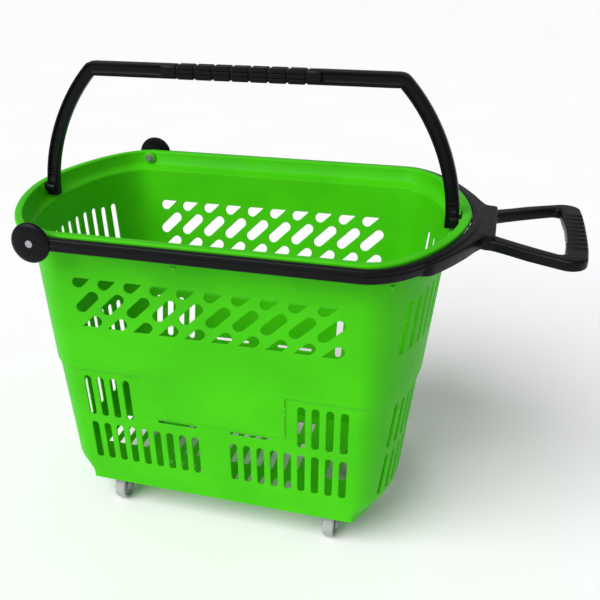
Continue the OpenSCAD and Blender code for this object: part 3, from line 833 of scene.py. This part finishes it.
# loop
gz0 = AZ0 - 4
lo_out = [(RL + 14, 57), (PX - 102, 57.5), (PX - 86, 66.5), (PX - 65, 79.5)] + fil((PX - 21, 79.5), 110, 15, 19, 12) + [(PX - 1, 60), (PX - 0.2, 30), (PX, 0)]
lo_in = [(PX - 99.5, 37.5), (PX - 73, 55), (PX - 50, 69)] + fil((PX - 31.7, 72.3), 110, 8, 6.2, 8) + [(PX - 24.5, 52), (PX - 22.4, 26), (PX - 21.8, 0)]
prism(ph, rounded(mir(lo_out), 6, 5, 14), [rounded(mir(lo_in), 5, 5, 25)], gz0, gz0 + 13, 3.2, 4)
for i in range(-4, 5):
    rbox(ph, (PX - 11.8, i * 14, gz0 + 6.5), (20.4, 5.2, 15.4), 2.2, seg=3)
# hubs
for s in (-1, 1):
    base = RW + 1
    pr = [(3.55, base), (14.6, base), (14.9, base + .4), (14.9, base + 6.3), (21, base + 6.6), (23.4, base + 7.2), (24.3, base + 8.4), (24.45, base + 9.8), (24.1, base + 11.3), (22.7, base + 12.6), (19.5, base + 13.6),
          (15, base + 14.4), (9, base + 14.85), (5.6, base + 14.9), (5.45, base + 14.5), (5.4, base + 12.25), (3.55, base + 12.25)]
    lathe(ph, pr, lambda a, c, h, s=s: (HX + a, s * h, HZ + c), 96)
pull = ph.build("pull_handle_moulding", BLACK, "pull_handle", ["pull_handle"], merge=0.004, angle=38)

# ------------------------------------------------------------------ casters and fasteners
def bevel(o, w, seg=2):
    b = o.modifiers.new("edge", "BEVEL")
    b.width = w
    b.segments = seg
    b.limit_method = "ANGLE"
    b.angle_limit = math.radians(40)
    b.harden_normals = False


for name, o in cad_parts.items():
    if name.startswith("wheel"):
        m = GREY
    elif name.startswith("fork"):
        m = FORKM
    elif name in ("basket", "carry_handle", "pull_handle"):
        continue
    else:
        m = ZINC
    o.data.materials.clear()
    o.data.materials.append(m)
    if name.startswith(("fork", "plate", "hub_rivet", "screws", "axle")):
        bevel(o, 0.0004, 2)

WHEELS = {"fl": (-1, -1), "fr": (1, -1), "bl": (-1, 1), "br": (1, 1)}
for c, (sx, sy) in WHEELS.items():
    w = Acc()
    cx, cy, cz = sx * 154, sy * 73 - 13, 20.0
    half_p = [(2.56, 7.5), (5.4, 7.5), (5.9, 7.2), (6.2, 5.4), (15.4, 5.2), (16, 5.6), (16.3, 7.2), (17, 7.5), (18.6, 7.45), (19.4, 6.9), (19.85, 5.8), (20, 4.4), (20, 2.2)]
    pr = half_p + [(r, -h) for r, h in half_p[::-1]]
    lathe(w, pr, lambda a, b_, h: (cx + h, cy + a, cz + b_), 72)
    w.build("wheel_tread_" + c, GREY, "wheel_" + c, ["wheel_" + c], merge=0.002, angle=35)

# ------------------------------------------------------------------ stage
fl_me = bpy.data.meshes.new("floor")
S = 30.0
fl_me.from_pydata([(-S, -S, 0), (S, -S, 0), (S, S, 0), (-S, S, 0)], [], [(0, 1, 2, 3)])
floor = bpy.data.objects.new("floor", fl_me)
sc.collection.objects.link(floor)
fm, nt, b = new_mat("floor_paper")
tc = nt.nodes.new("ShaderNodeTexCoord").outputs["Object"]
n1 = noise(nt, 3.0, 4, vec=tc)
nt.links.new(mixc(nt, ramp(nt, n1.outputs[0], 0, 1), (0.94, 0.94, 0.94), (0.96, 0.96, 0.96)), b.inputs["Base Color"])
b.inputs["Roughness"].default_value = 0.9
fl_me.materials.append(fm)

world = bpy.data.worlds.new("studio")
sc.world = world
world.use_nodes = True
bg = world.node_tree.nodes["Background"]
bg.inputs[0].default_value = (1, 1, 1, 1)
bg.inputs[1].default_value = 0.37


sun = bpy.data.lights.new("softbox", "SUN")
sun.energy = 3.15
sun.angle = math.radians(50)
so = bpy.data.objects.new("softbox", sun)
sc.collection.objects.link(so)
so.rotation_euler = Vector((.40, .62, -.68)).to_track_quat("-Z", "Y").to_euler()

# camera
az, el, roll = math.radians(18.48), math.radians(28.64), math.radians(-1.23)
fwd = Vector((-math.sin(az) * math.cos(el), math.cos(az) * math.cos(el), -math.sin(el)))
right = Vector((math.cos(az), math.sin(az), 0))
up = right.cross(fwd)
Rv = math.cos(roll) * right + math.sin(roll) * up
Uv = -math.sin(roll) * right + math.cos(roll) * up
cam = bpy.data.cameras.new("cam")
cam.sensor_width = 36
cam.lens = 851.53 / 600 * 36
cam.shift_x = (300 - 211.61) / 600
cam.shift_y = (360.53 - 300) / 600
cam.clip_start = 0.05
cam.dof.use_dof = False
co = bpy.data.objects.new("cam", cam)
sc.collection.objects.link(co)
M = Matrix((
    (Rv.x, Uv.x, -fwd.x, 0.29691 + X0 / 1000),
    (Rv.y, Uv.y, -fwd.y, -1.01698),
    (Rv.z, Uv.z, -fwd.z, 0.78512),
    (0, 0, 0, 1)))
co.matrix_world = M
sc.camera = co
